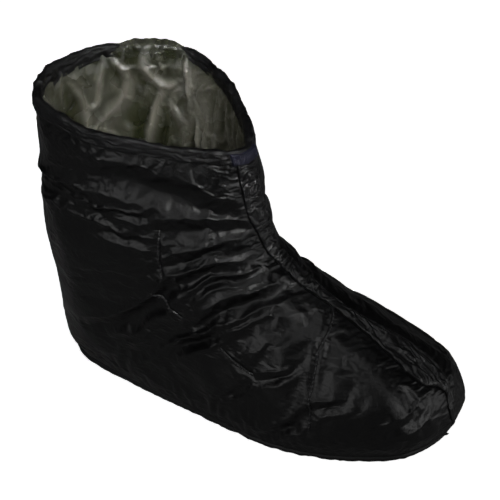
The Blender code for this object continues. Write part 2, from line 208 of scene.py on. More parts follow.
# Grid of the whole upper. Its columns run from the back round the wearer's right to the strip,
# across it, and back along the left; crowd draws them closer together near the strip.
grid = {"rows": 400, "side": 232, "strip": 14, "crowd": 0.25}
sideShares = np.linspace(0, 1, grid["side"])
sideShares = sideShares + grid["crowd"] * sideShares * (1 - sideShares)


def columnAways(steps):
    # distances from the back of every column, on the right, across the strip and on the left
    ring, _, lengths = ringsAt(steps)
    whole, seam = lengths[:, -1:], ring["seam"][:, None]
    halfStrip = shoe["stripWidth"] / 2
    right = sideShares * (whole + seam - halfStrip)
    strip = whole + seam + np.linspace(-halfStrip, halfStrip, grid["strip"] + 2)[1:-1]
    left = sideShares * (whole - seam - halfStrip)
    return right, strip, left


def upperGrid(steps):
    right, strip, left = columnAways(steps)
    parts = [surface(steps, right, 1), surface(steps, strip, 1), surface(steps, left, -1)[:, :0:-1]]
    return np.concatenate(parts, 1)


gridSteps = np.linspace(0, 1, grid["rows"])
bare = upperGrid(gridSteps)
bareOut = outward(bare)
sideColumns = grid["side"]
stripColumns = slice(sideColumns, sideColumns + grid["strip"])
columnCount = bare.shape[1]
columnSide = np.where(np.arange(columnCount) < sideColumns + grid["strip"] / 2, 1, -1)
# each column's share of the way from the back to the front
columnShare = np.concatenate([sideShares, np.ones(grid["strip"]), sideShares[:0:-1]])


def frontGrid(steps, across):
    # a grid on the front at distances across the front line, and its outward directions
    ring, _, lengths = ringsAt(steps)
    points = surface(steps, lengths[:, -1:] + ring["seam"][:, None] + across, 1)
    out = np.cross(np.gradient(points, axis=1), np.gradient(points, axis=0))
    return points, out / np.linalg.norm(out, axis=2, keepdims=True)


def onUpper(side, away, step):
    # the bare surface at a share of the way from back to front, and a step
    ring, _, lengths = ringsAt([step])
    whole = lengths[0, -1] + side * ring["seam"][0]
    return surface([step], np.array([[away * whole]]), side)[0, 0]


# Folds pressed into the shell. Each row has its side (1 is the wearer's right), its depth, width
# and the height of the lip above it in metres, and its points as (share of the way from back to front,
# step).
foldRows = [
    # round the back of the ankle, and its bright lip
    (1, .0060, .0050, .0030, [(.04, .80), (.20, .79), (.30, .79), (.44, .775)]),
    (1, .0030, .0040, .0022, [(.10, .76), (.22, .765), (.36, .755), (.53, .725)]),
    # broad one falling across the shaft to the throat
    (1, .0065, .0085, .0030, [(.38, .865), (.53, .875), (.72, .835), (.86, .78), (.96, .72)]),
    (1, .0040, .0055, .0025, [(.60, .715), (.74, .725), (.86, .715), (.97, .68)]),
    (1, .0020, .0030, .0016, [(.40, .735), (.50, .76), (.58, .755), (.64, .775)]),
    (1, .0020, .0032, .0015, [(.42, .69), (.52, .675), (.62, .67)]),
    (1, .0030, .0050, .0025, [(.58, .56), (.72, .62), (.82, .645), (.96, .64)]),
    # deep fold from the throat's side down to the heel
    (1, .0060, .0055, .0032, [(.18, .20), (.33, .31), (.45, .405), (.58, .50), (.71, .55), (.84, .565)]),
    (1, .0025, .0028, .0020, [(.60, .475), (.70, .52), (.80, .545), (.90, .55)]),
    (1, .0055, .0050, .0030, [(.52, .36), (.65, .435), (.77, .48), (.88, .50), (.97, .51)]),
    (1, .0040, .0042, .0028, [(.37, .19), (.47, .28), (.56, .34), (.63, .385)]),
    (1, .0020, .0055, .0015, [(.22, .08), (.30, .165), (.38, .25), (.47, .315)]),
    (1, .0020, .0060, .0018, [(.56, .31), (.68, .37), (.79, .40), (.90, .41)]),
    (1, .0020, .0035, .0015, [(.60, .225), (.65, .245), (.70, .265)]),
    # short ones at the sole's seam by the ball
    (1, .0035, .0035, .0020, [(.58, .03), (.64, .10), (.68, .16)]),
    (1, .0030, .0035, .0020, [(.67, .13), (.71, .175), (.76, .18)]),
    # the same kinds of fold on the left
    (-1, .0060, .0060, .0030, [(.04, .78), (.20, .74), (.36, .73), (.52, .75)]),
    (-1, .0055, .0080, .0030, [(.42, .83), (.60, .82), (.80, .76), (.96, .69)]),
    (-1, .0060, .0055, .0032, [(.22, .22), (.36, .34), (.52, .45), (.70, .53), (.88, .56)]),
    (-1, .0050, .0050, .0028, [(.50, .33), (.66, .42), (.82, .48), (.96, .50)]),
    (-1, .0035, .0045, .0025, [(.40, .18), (.52, .29), (.62, .36)]),
    (-1, .0025, .0040, .0018, [(.30, .62), (.46, .60), (.62, .62), (.76, .65)]),
    # two low ones on the right, from a seam to the sole and on the toe
    (1, .0016, .0026, .0014, [(.59, .23), (.54, .16), (.48, .095), (.47, .02)]),
    (1, .0016, .0040, .0014, [(.81, .11), (.87, .135), (.92, .16)]),
]
folds = [dict(zip(("side", "depth", "width", "lip", "points"), row)) for row in foldRows]
# A fold's section, in shares of its width: the lip above the valley and a lower one below it
crease = {"soft": 0.12, "lipAt": 1.45, "lipReach": 0.55, "lowLip": 0.55, "lowAt": -1.6, "lowReach": 0.65}

# Sewn lines as (side, points), each a groove in the shell with a raised ridge along it
seams = [
    (1, [(0.95, 0.43), (0.80, 0.335), (0.70, 0.21), (0.68, 0.145), (0.675, 0.09)]),
    (1, [(0.64, 0.72), (0.63, 0.66), (0.61, 0.585), (0.58, 0.535)]),
    (1, [(0.49, 0.47), (0.50, 0.42), (0.51, 0.38)]),
    (1, [(0.55, 0.305), (0.56, 0.265), (0.59, 0.23)]),
]
seamSizes = {
    "reach": 0.012, "sewn": 0.0018, "groove": 0.0009, "grooveWidth": 0.0022,
    "pucker": 0.0010, "puckerSize": 0.0065, "puckerReach": 0.004,
    "stitch": 0.0030, "fade": 0.004, "stand": 0.0001,
    "across": (-0.0011, -0.0008, -0.0003, 0.0002, 0.0007, 0.0011),
    "heights": (-0.0006, 0.0005, 0.0013, 0.0013, 0.0005, -0.0006),
}


def foldField(points, out, line, reach):
    # for each point: distance from the line, share along it, and which side of it
    flat = points.reshape(-1, 3)
    best = np.full(len(flat), 1e9)
    along = np.zeros(len(flat))
    sign = np.zeros(len(flat))
    normals = out.reshape(-1, 3)
    near = np.where(((flat > line.min(0) - reach) & (flat < line.max(0) + reach)).all(1))[0]
    q = flat[near]
    for k in range(len(line) - 1):
        a, run = line[k], line[k + 1] - line[k]
        f = np.clip(((q - a) @ run) / (run @ run), 0, 1)
        apart = q - (a + f[:, None] * run)
        d = np.linalg.norm(apart, axis=1)
        closer = d < best[near]
        up = np.einsum("ij,ij->i", apart, np.cross(normals[near], run / np.linalg.norm(run)))
        best[near] = np.where(closer, d, best[near])
        along[near] = np.where(closer, (k + f) / (len(line) - 1), along[near])
        sign[near] = np.where(closer, np.sign(up), sign[near])
    shape = points.shape[:2]
    return best.reshape(shape), along.reshape(shape), sign.reshape(shape)


def newMesh(name, points, material, closed=False, inward=False):
    # a smooth piece from a grid of points, closed to loops or open, its faces turned round if inward
    faces = gridFaces(*points.shape[:2], closed)
    mesh = bpy.data.meshes.new(name)
    mesh.from_pydata(points.reshape(-1, 3).tolist(), [], (faces[:, ::-1] if inward else faces).tolist())
    mesh.update()
    mesh.shade_smooth()
    mesh.materials.append(material)
    thing = bpy.data.objects.new(name, mesh)
    bpy.context.scene.collection.objects.link(thing)
    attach(thing, "root")
    return thing


def gridFaces(rows, columns, closed=False):
    i, j = np.meshgrid(np.arange(rows - 1), np.arange(columns - (0 if closed else 1)), indexing="ij")
    k = (j + 1) % columns
    low, high = i * columns, (i + 1) * columns
    return np.stack([low + j, low + k, high + k, high + j], -1).reshape(-1, 4)


# Materials
weaveNoise = {"crinkle": (210, 3, 0.6), "grain": (1500, 1, 0), "cloud": (24, 4, 0)}
grainShare = 0.22   # of the crinkle's height


def makeWeave():
    # fine crinkle and grain for thin coated cloth as a height, and slow clouds of wear
    tree = bpy.data.node_groups.new("weave", "ShaderNodeTree")
    for title in ("Height", "Wear"):
        tree.interface.new_socket(title, in_out="OUTPUT", socket_type="NodeSocketFloat")
    where = tree.nodes.new("ShaderNodeTexCoord")
    noise = {}
    for name, (scale, detail, distortion) in weaveNoise.items():
        noise[name] = tree.nodes.new("ShaderNodeTexNoise")
        tree.links.new(where.outputs["Object"], noise[name].inputs["Vector"])
        noise[name].inputs["Scale"].default_value = scale
        noise[name].inputs["Detail"].default_value = detail
        noise[name].inputs["Distortion"].default_value = distortion
    add = tree.nodes.new("ShaderNodeMath")
    add.operation = "MULTIPLY_ADD"
    add.inputs[1].default_value = grainShare
    out = tree.nodes.new("NodeGroupOutput")
    tree.links.new(noise["grain"].outputs[0], add.inputs[0])
    tree.links.new(noise["crinkle"].outputs[0], add.inputs[2])
    tree.links.new(add.outputs[0], out.inputs["Height"])
    tree.links.new(noise["cloud"].outputs[0], out.inputs["Wear"])
    return tree


weave = makeWeave()


def clothMaterial(name, colour, dull, spread, bump):
    # thin cloth: its roughness runs from dull to dull + spread, with the crinkle's bump in metres
    material = bpy.data.materials.new(name)
    material.use_nodes = True
    tree = material.node_tree
    shader = tree.nodes["Principled BSDF"]
    shader.inputs["Base Color"].default_value = (*colour, 1)
    texture = tree.nodes.new("ShaderNodeGroup")
    texture.node_tree = weave
    wear = tree.nodes.new("ShaderNodeMapRange")
    limits = {"From Min": 0.35, "From Max": 0.65, "To Min": dull, "To Max": dull + spread}
    for title, value in limits.items():
        wear.inputs[title].default_value = value
    height = tree.nodes.new("ShaderNodeBump")
    height.inputs["Distance"].default_value = bump
    tree.links.new(texture.outputs["Wear"], wear.inputs["Value"])
    tree.links.new(wear.outputs["Result"], shader.inputs["Roughness"])
    tree.links.new(texture.outputs["Height"], height.inputs["Height"])
    tree.links.new(height.outputs["Normal"], shader.inputs["Normal"])
    return material


print("loading")
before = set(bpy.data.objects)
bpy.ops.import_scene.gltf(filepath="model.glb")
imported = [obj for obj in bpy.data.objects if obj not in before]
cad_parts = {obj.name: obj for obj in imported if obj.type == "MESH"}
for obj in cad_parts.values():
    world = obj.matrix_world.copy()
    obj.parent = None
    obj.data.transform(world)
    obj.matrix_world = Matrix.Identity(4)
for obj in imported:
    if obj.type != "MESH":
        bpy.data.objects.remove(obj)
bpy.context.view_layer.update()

print("materials")
# colour, how dull the cloth is at least, how much more in places, and its crinkle's bump in metres
fabricLooks = {
    "shell": ((0.0022, 0.0022, 0.0025), 0.31, 0.13, 0.0003),
    "soleCloth": ((0.0032, 0.0032, 0.0036), 0.52, 0.14, 0.0004),
    # the strip's black cloth, made lighter than the shell as painted highlight on its ruching
    "stripClothAndHighlight": ((0.0095, 0.0095, 0.0100), 0.28, 0.12, 0.0004),
    # the sewn ridges' black cloth, made lighter still so that they show as bright lines: painted highlight
    "seamClothHighlight": ((0.014, 0.014, 0.015), 0.24, 0.10, 0.0002),
    "tape": ((0.0022, 0.0022, 0.0028), 0.42, 0.15, 0.0005),
    "liningCloth": ((0.115, 0.118, 0.090), 0.20, 0.12, 0.0007),
    "pad": ((0.115, 0.118, 0.090), 0.40, 0.12, 0.0004),
    "thread": ((0.007, 0.008, 0.026), 0.55, 0.15, 0.0008),
}
fabrics = {name: clothMaterial(name, *look) for name, look in fabricLooks.items()}
# the lining is olive, darker in its hollows as painted shade, with a painted silver highlight on its crests
# and a painted silver sheen where it turns away
liningLook = {
    "specular": 1.0, "sheenBlend": 0.12, "crestHighlight": 0.75,
    "hollow": (0.026, 0.030, 0.009, 1), "silverHighlight": (0.38, 0.365, 0.305, 1),
}
tree = fabrics["liningCloth"].node_tree
liningShader = tree.nodes["Principled BSDF"]
liningShader.inputs["Specular IOR Level"].default_value = liningLook["specular"]
# painted sheen: the colour turns silver as the lining turns away from view
sheenFacing = tree.nodes.new("ShaderNodeLayerWeight")
sheenFacing.inputs["Blend"].default_value = liningLook["sheenBlend"]
# painted highlight: the crests' height turns the colour silver, and the hollows keep the darker olive as
# painted shade
crestHighlightNode = tree.nodes.new("ShaderNodeAttribute")
crestHighlightNode.attribute_name = "crestHighlight"
highlightShare = tree.nodes.new("ShaderNodeMath")
highlightShare.operation = "MULTIPLY_ADD"
highlightShare.use_clamp = True
highlightShare.inputs[1].default_value = liningLook["crestHighlight"]
shadeAndHighlight = tree.nodes.new("ShaderNodeMix")
shadeAndHighlight.data_type = "RGBA"
shadeAndHighlight.inputs["A"].default_value = liningLook["hollow"]
shadeAndHighlight.inputs["B"].default_value = liningLook["silverHighlight"]
tree.links.new(crestHighlightNode.outputs["Fac"], highlightShare.inputs[0])
tree.links.new(sheenFacing.outputs["Facing"], highlightShare.inputs[2])
tree.links.new(highlightShare.outputs[0], shadeAndHighlight.inputs["Factor"])
tree.links.new(shadeAndHighlight.outputs["Result"], liningShader.inputs["Base Color"])

# The front strip's two edges at each step, in metres from the front line and positive to the wearer's left
stripEdges = np.array([
    (.000, -.0090, -.0050), (.040, -.0095, -.0060), (.115, -.0155, -.0110), (.150, -.0145, -.0085),
    (.182, -.0185, -.0065), (.205, -.0260, -.0040), (.235, -.0280, -.0020), (.270, -.0255, -.0020),
    (.320, -.0220, -.0030), (.350, -.0190, -.0050), (.390, -.0170, -.0075), (.415, -.0150, -.0070),
    (.448, -.0130, -.0040), (.490, -.0120, .0005), (.503, -.0115, .0020), (.560, -.0065, .0070),
    (.652, -.0075, .0075), (.740, -.0110, .0075), (.828, -.0100, .0070), (.893, -.0095, .0080),
    (.948, -.0085, .0085), (1.000, -.0070, .0085),
])
frontRing, _, frontLengths = ringsAt(gridSteps)
seamAway = frontLengths[:, -1:] + frontRing["seam"][:, None]
leftSeamAway = frontLengths[:, -1:] - frontRing["seam"][:, None]
frontRun = runAlong(surface(gridSteps, seamAway, 1)[:, 0])
rightAways, stripAways, leftAways = columnAways(gridSteps)
# how far each grid point is from the front line, positive to the wearer's left
acrossFront = [rightAways - seamAway, stripAways - seamAway, (leftSeamAway - leftAways)[:, :0:-1]]
acrossFront = np.concatenate(acrossFront, 1)
stripLeft, stripRight = blend(gridSteps, stripEdges[:, 0], stripEdges[:, 1:]).T[:, :, None]
# distance outside the strip's edges, negative between them
beyondStrip = np.maximum(stripLeft - acrossFront, acrossFront - stripRight)
frontPlace = np.stack([frontRun[:, None] + 0 * acrossFront, acrossFront, 0 * acrossFront], 2)
stepField = np.repeat(gridSteps[:, None], columnCount, 1)


def creaseProfile(u, fold):
    # height over the signed distance from a fold's line: a sharp valley between two narrow lips
    w = fold["width"]
    soft = crease["soft"] * w

    def sharp(centre, reach):
        return np.exp(-(np.sqrt((u - centre) ** 2 + soft**2) - soft) / reach)

    valley = np.exp(-(np.abs(u) / w) ** 1.5)
    return (-fold["depth"] * valley + fold["lip"] * sharp(crease["lipAt"] * w, crease["lipReach"] * w)
            + crease["lowLip"] * fold["lip"] * sharp(crease["lowAt"] * w, crease["lowReach"] * w))


# Shell, with heights, sizes and reaches in metres
shellSizes = {
    "wander": 0.0030, "wanderSize": 0.024,                           # the folds stray from their lines
    "billow": 0.0014, "billowSize": 0.070,                           # low swellings of the filling
    "crinkle": 0.0009, "crinkleSize": 0.030,
    "gather": 0.0017, "gatherSize": 0.0058, "gatherReach": 0.0065,   # beside the strip
    "pucker": 0.0016, "puckerSize": 0.0075, "puckerSteps": 0.05,     # above the sole
    "ballAt": 0.60, "ballWidth": 0.10,                               # where the puckers are strongest
    "sink": 0.0010, "deepest": 0.80,                                 # under the strip; share of the wall
    "tuckIn": 0.0035, "tuckDown": 0.0006,                            # the lower edge, under the insole
}
shellCloth = {"shrink": (-0.011, -0.058), "swell": 0.5, "frames": 16, "limit": 0.0032}
clothSettings = {
    "quality": 5, "mass": 0.10, "tension_stiffness": 14, "compression_stiffness": 14,
    "shear_stiffness": 5, "bending_stiffness": 0.06,
}


def shellHeights():
    # how far the shell stands off the bare surface, where it has slack to crumple, and where it is sewn
    s, d = shellSizes, seamSizes
    height, slack, sewn = (np.zeros(bare.shape[:2]) for _ in range(3))
    warp = np.stack([layered(bare, s["wanderSize"], 40 + k, 3) for k in range(3)], 2) * s["wander"]
    for fold in folds:
        reach = 4.5 * fold["width"]
        line = curveThrough([onUpper(fold["side"], *p) for p in fold["points"]], 28)
        away, along, sign = foldField(bare + warp, bareOut, line, reach)
        ends = np.sin(math.pi * np.clip(along, 0.02, 0.98)) ** 0.6
        profile = creaseProfile(np.where(sign > 0, away, -away), fold)
        height += np.where(away < reach, ends * profile, 0)
        slack = np.maximum(slack, np.where(away < reach, ends * hill(away, 0, 2.5 * fold["width"]), 0))
    height += s["billow"] * layered(bare, s["billowSize"], 3, 2)
    height += s["crinkle"] * (ridged(bare + 2 * warp, s["crinkleSize"], 9) - 0.6) * (0.3 + 0.7 * slack)
    for side, points in seams:
        line = curveThrough([onUpper(side, *p) for p in points], 40)
        away, along, _ = foldField(bare, bareOut, line, d["reach"])
        sewn = np.maximum(sewn, hill(away, 0, d["sewn"]))
        place = np.stack([along * len(line) * 0.004, 0 * along, 0.25 * away], 2)
        puckers = d["pucker"] * (ridged(place, d["puckerSize"], 51) - 0.5) * np.exp(-away / d["puckerReach"])
        height += puckers - d["groove"] * hill(away, 0, d["grooveWidth"])
    return height, slack, sewn


print("shell")
height, slack, sewn = shellHeights()
wallField = frontRing["wall"][:, None]
# drawn in at the sole's seam, the binding and the strip
hold = smoothStep(stepField / 0.05) * smoothStep((1 - stepField) / 0.06)
hold = hold * smoothStep(beyondStrip / 0.011 + 0.05)
gatherNoise = ridged(frontPlace * [1, 0.28, 1], shellSizes["gatherSize"], 21) - 0.55
gather = np.exp(-np.abs(beyondStrip) / shellSizes["gatherReach"]) * smoothStep(beyondStrip / 0.0015 + 0.3)
gather = gather * smoothStep((1 - stepField) / 0.06)
solePuckers = ridged(bare * [1, 1, 0.35], shellSizes["puckerSize"], 27) - 0.55
solePuckers = solePuckers * np.exp(-stepField / shellSizes["puckerSteps"])
ballPull = 0.35 + 1.0 * hill(columnShare, shellSizes["ballAt"], shellSizes["ballWidth"])[None]
sink = smoothStep(-beyondStrip / 0.002 + 0.5) * shellSizes["sink"]
lift = height * hold + shellSizes["gather"] * gatherNoise * gather
lift = lift + shellSizes["pucker"] * solePuckers * ballPull - sink
shellPoints = bare + bareOut * lift[..., None]


def finer(values, axis, count, closed=False):
    # a grid made finer along one axis by smooth interpolation, to count lines
    have = values.shape[axis]
    at = np.linspace(0, have, count, endpoint=False) if closed else np.linspace(0, have - 1, count)
    i, f = np.floor(at).astype(int), at - np.floor(at)
    f = f.reshape([-1 if k == axis else 1 for k in range(values.ndim)])
    around = [(i + k) % have if closed else np.clip(i + k, 0, have - 1) for k in (-1, 0, 1, 2)]
    return between(*(np.take(values, place, axis) for place in around), f)


def crumple(points, pins, slack, shrink, swell, frames, limit):
    # cloth simulation of the slack between the seams, on a grid with half the lines
    coarse = points[::2, ::2]
    mesh = bpy.data.meshes.new("slack")
    mesh.from_pydata(coarse.reshape(-1, 3).tolist(), [], gridFaces(*coarse.shape[:2], closed=True).tolist())
    thing = bpy.data.objects.new("slack", mesh)
    bpy.context.scene.collection.objects.link(thing)
    for name, field in (("pins", pins), ("slack", slack)):
        group = thing.vertex_groups.new(name=name)
        weights = np.round(np.clip(field[::2, ::2], 0, 1).ravel(), 2)
        for weight in np.unique(weights[weights > 0]):
            group.add(np.where(weights == weight)[0].tolist(), float(weight), "REPLACE")
    cloth = thing.modifiers.new("cloth", "CLOTH")
    settings = cloth.settings
    for name, value in clothSettings.items():
        setattr(settings, name, value)
    settings.vertex_group_mass = "pins"
    settings.vertex_group_shrink = "slack"
    settings.shrink_min = shrink[0]
    settings.shrink_max = shrink[1]
    settings.use_pressure = True
    settings.uniform_pressure_force = swell
    settings.effector_weights.gravity = 0
    cloth.point_cache.frame_start, cloth.point_cache.frame_end = 1, frames
    for number in range(1, frames + 1):
        bpy.context.scene.frame_set(number)
    seen = thing.evaluated_get(bpy.context.evaluated_depsgraph_get())
    moved = np.zeros(len(mesh.vertices) * 3)
    seen.data.vertices.foreach_get("co", moved)
    bpy.data.objects.remove(thing)
    change = moved.reshape(coarse.shape) - coarse
    size = np.linalg.norm(change, axis=2, keepdims=True)
    change *= limit * np.tanh(size / limit) / np.maximum(size, 1e-9)
    print("moved", round(float(size.max()) * 1000, 1), "mm at most")
    return points + finer(finer(change, 0, points.shape[0]), 1, points.shape[1], closed=True)


pins = np.maximum(1 - smoothStep(hold * 1.15), 0.9 * sewn)
slackField = np.clip(0.9 * slack + 0.5 * np.exp(-beyondStrip / 0.014) + 0.15, 0, 1)
shellPoints = crumple(shellPoints, pins, slackField, **shellCloth)
# never deeper than a share of the wall
depth = ((shellPoints - bare) * bareOut).sum(2, keepdims=True)
deepest = shellSizes["deepest"] * wallField[..., None]
shellPoints = shellPoints + bareOut * np.where(depth < 0, deepest * np.tanh(depth / deepest) - depth, 0)
# its lower edge is tucked in under the insole, so that little shows of the gap at the sole
tucked = shellPoints[:1] - bareOut[:1] * shellSizes["tuckIn"] - np.array([0, 0, shellSizes["tuckDown"]])
tuckedPoints = np.concatenate([tucked, shellPoints])
middle = sideColumns + grid["strip"] // 2
rightPart = tuckedPoints[:, :middle + 1]
leftPart = np.concatenate([tuckedPoints[:, middle:], tuckedPoints[:, :1]], 1)
shellRight = newMesh("shell_right", rightPart, fabrics["shell"])
shellLeft = newMesh("shell_left", leftPart, fabrics["shell"])
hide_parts("upper")
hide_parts("upper")


def onShell(side, share, step):
    # a place on the finished shell, and its outward direction, from the grid
    ring, _, lengths = ringsAt([step])
    whole = lengths[0, -1] + side * ring["seam"][0]
    at = share * whole / (whole - shoe["stripWidth"] / 2)
    column = np.interp(at, sideShares, np.arange(len(sideShares)))
    column = column if side > 0 else columnCount - column
    row = step * (grid["rows"] - 1)
    i, j = min(int(row), grid["rows"] - 2), int(column)
    f, g = row - i, column - j
    weights = ((1 - f) * (1 - g), (1 - f) * g, f * (1 - g), f * g)
    corners = ((i, j), (i, (j + 1) % columnCount), (i + 1, j), (i + 1, (j + 1) % columnCount))
    place = sum(w * shellPoints[c] for w, c in zip(weights, corners))
    way = sum(w * shellOut[c] for w, c in zip(weights, corners))
    return np.concatenate([place, way / np.linalg.norm(way)])


print("seams")
shellOut = outward(shellPoints)
for number, (side, points) in enumerate(seams):
    # a narrow ridge of doubled cloth, nipped at each stitch
    places = np.array([onShell(side, *p) for p in curveThrough(points, 60)])
    fine = curveThrough(places, 400)
    ways = fine[:, 3:] / np.linalg.norm(fine[:, 3:], axis=1, keepdims=True)
    sideways = np.cross(np.gradient(fine[:, :3], axis=0), ways)
    sideways /= np.linalg.norm(sideways, axis=1, keepdims=True)
    run = runAlong(fine[:, :3])
    nip = 0.65 + 0.35 * np.abs(np.sin(math.pi * run / seamSizes["stitch"]))
    fade = smoothStep(np.minimum(run, run[-1] - run) / seamSizes["fade"])
    across = np.array(seamSizes["across"])
    heights = np.array(seamSizes["heights"]) * (nip * fade)[:, None] + seamSizes["stand"]
    ridge = fine[:, None, :3] + sideways[:, None] * across[:, None] + ways[:, None] * heights[..., None]
    # painted highlight: the ridge takes the lighter seam cloth
    piece = newMesh("seam_%d" % (number + 1), ridge, fabrics["seamClothHighlight"])
    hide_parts("upper")

# Lining. Its folds were laid on the inside: each row has the side, the crest's height and width
# in metres, and its points as (share of the way from back to front, step).
liningRows = [
    (-1, .0050, .0050, [(.05, .96), (.08, .93), (.11, .88), (.12, .82), (.11, .70)]),
    (-1, .0055, .0040, [(.20, .98), (.19, .94), (.17, .90), (.155, .86), (.13, .865), (.11, .90)]),
    (-1, .0060, .0060, [(.21, .97), (.25, .94), (.265, .90), (.24, .85), (.19, .82), (.13, .79)]),
    (-1, .0040, .0045, [(.28, .84), (.24, .81), (.19, .79), (.15, .75)]),
    (-1, .0065, .0055, [(.33, .99), (.315, .95), (.35, .915), (.40, .89), (.455, .905)]),
    (-1, .0035, .0040, [(.37, .99), (.37, .96), (.40, .93), (.43, .92)]),
    (-1, .0055, .0050, [(.30, .915), (.33, .91), (.385, .88), (.36, .83), (.345, .76), (.34, .66)]),
    (-1, .0060, .0050, [(.43, .99), (.475, .98), (.49, .93), (.495, .87), (.50, .80)]),
    (-1, .0045, .0040, [(.56, .98), (.53, .92), (.50, .86)]),
    (-1, .0045, .0042, [(.65, .97), (.59, .93), (.55, .90)]),
    (-1, .0050, .0050, [(.52, .86), (.53, .81), (.535, .74), (.53, .62)]),
    (-1, .0050, .0042, [(.58, .90), (.575, .82), (.57, .74), (.58, .64)]),
    (-1, .0045, .0045, [(.64, .93), (.62, .84), (.62, .76), (.63, .66)]),
    (-1, .0040, .0040, [(.43, .875), (.40, .86), (.43, .83), (.47, .77), (.47, .68)]),
    (-1, .0040, .0040, [(.70, .94), (.71, .88), (.72, .82), (.73, .72)]),
    (-1, .0040, .0040, [(.80, .95), (.80, .88), (.81, .80)]),
    (1, .0045, .0050, [(.10, .96), (.12, .88), (.11, .78), (.13, .66)]),
    (1, .0050, .0055, [(.26, .97), (.24, .89), (.28, .80), (.27, .68)]),
    (1, .0045, .0050, [(.42, .97), (.44, .88), (.41, .80), (.43, .70)]),
    (1, .0050, .0050, [(.58, .96), (.56, .88), (.59, .79), (.57, .68)]),
    (1, .0045, .0050, [(.74, .96), (.76, .87), (.73, .78)]),
]
liningFolds = [dict(zip(("side", "height", "width", "points"), row)) for row in liningRows]
liningSizes = {
    "wander": 0.0030, "wanderSize": 0.030,
    "least": 0.0006, "ruck": 0.0028, "ruckSize": 0.022, "billow": 0.0010, "billowSize": 0.05,
    "round": 0.0006, "steep": 0.55, "slope": 1.7,                   # the folds' sections, in widths
    "puffAt": 0.365, "puffWidth": 0.105, "puffFront": 0.0031,       # puffed up at the back on the left
    "puffOver": 0.0050, "puffUp": 0.0050, "puffRipple": 0.0012,
    "from": 16, "slackRows": 140,                                   # rows left out, and held below the slack
}
liningCloth = {"shrink": (-0.02, -0.09), "swell": -0.4, "frames": 12, "limit": 0.0030}
wall = wallField[..., None]
inner = bare - bareOut * wall


def liningBulge():
    # how far the lining stands in from the wall
    s = liningSizes
    warp = np.stack([layered(inner, s["wanderSize"], 60 + k, 2) for k in range(3)], 2) * s["wander"]
    rucks = ridged(inner * [1, 1, 0.45] + 1.6 * warp, s["ruckSize"], 70)
    bulge = s["least"] + s["ruck"] * rucks + s["billow"] * layered(inner, s["billowSize"], 75, 2)
    for fold in liningFolds:
        line = curveThrough([onUpper(fold["side"], *p) for p in fold["points"]], 30)
        away, along, sign = foldField(bare + warp, bareOut, line, 6 * fold["width"])
        ends = np.sin(math.pi * np.clip(0.06 + 0.88 * along, 0, 1)) ** 0.5
        ends = np.where(away < 6 * fold["width"], ends, 0)
        # a crest with one steep side and one long slope
        reach = fold["width"] * np.where(sign > 0, s["steep"], s["slope"])
        drape = np.exp(-(np.sqrt(away**2 + s["round"]**2) - s["round"]) / reach)
        bulge = np.maximum(bulge, 1.05 * fold["height"] * ends * drape)
    return np.maximum(bulge, 0.0004)


print("lining")
bulge = liningBulge() * (0.12 + 0.88 * smoothStep((1 - gridSteps) / 0.06))[:, None]
liningPoints = inner - bareOut * bulge[..., None]
# puffs up in front of the binding on the far side, and over its top
puff = 1.25 * hill(columnShare, liningSizes["puffAt"], liningSizes["puffWidth"])
puff = smoothStep(puff) * (columnSide < 0)
inFront = smoothStep((gridSteps - 0.900) / 0.05)[:, None] * puff[None]
top = smoothStep((gridSteps - 0.950) / 0.035)[:, None] * puff[None]
over = smoothStep((gridSteps - 0.984) / 0.016)[:, None] * puff[None]
ripple = layered(np.stack([columnShare, 0 * columnShare, 0 * columnShare], 1) * 0.25, 0.010, 66, 2)[None]
liningPoints -= bareOut * (liningSizes["puffFront"] * inFront - liningSizes["puffOver"] * over)[..., None]
liningPoints[..., 2] += (liningSizes["puffUp"] + liningSizes["puffRipple"] * ripple) * top
above = slice(liningSizes["from"] + liningSizes["slackRows"], None)
loose = smoothStep((gridSteps - gridSteps[above][0]) / 0.05)
loose = loose * smoothStep((1 - gridSteps) / 0.05 + 0.1)
liningPins = np.repeat(1 - loose[:, None], columnCount, 1)[above]
liningPins = np.maximum(liningPins, 0.15 * smoothStep(bulge[above] / 0.004))
before = liningPoints[above] + 0
liningPoints[above] = crumple(before, liningPins, 0 * liningPins + 1, **liningCloth)
# never into the wall
outwards = ((liningPoints[above] - before) * bareOut[above]).sum(2, keepdims=True)
spare = np.minimum(bulge[above] * 0.8, 0.002)[..., None]
liningPoints[above] += bareOut[above] * np.minimum(0, spare - outwards)
# painted highlight and shade: the height of each fold's crest, which the lining's colour turns silver on the
# crests and darker olive in the hollows
crestHighlight = smoothStep((bulge - 0.0012) / 0.0050)
liningPoints = liningPoints[liningSizes["from"]::2]
crestHighlight = crestHighlight[liningSizes["from"]::2]
lining = newMesh("lining", liningPoints, fabrics["liningCloth"], closed=True, inward=True)
attribute = lining.data.attributes.new("crestHighlight", "FLOAT", "POINT")
attribute.data.foreach_set("value", crestHighlight.ravel())
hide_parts("upper")


# Binding: rows of its section, puckers in metres, and how much wider it is inside
bindingSizes = {
    "sideRows": 12, "topRows": 7, "outside": 0.92, "waver": 0.0009, "rowSpace": 0.0011,
    "pucker": 0.0011, "hem": 0.0018,
    "backWide": 0.8, "backReach": 0.16, "frontWide": 0.6, "frontReach": 0.14,
}


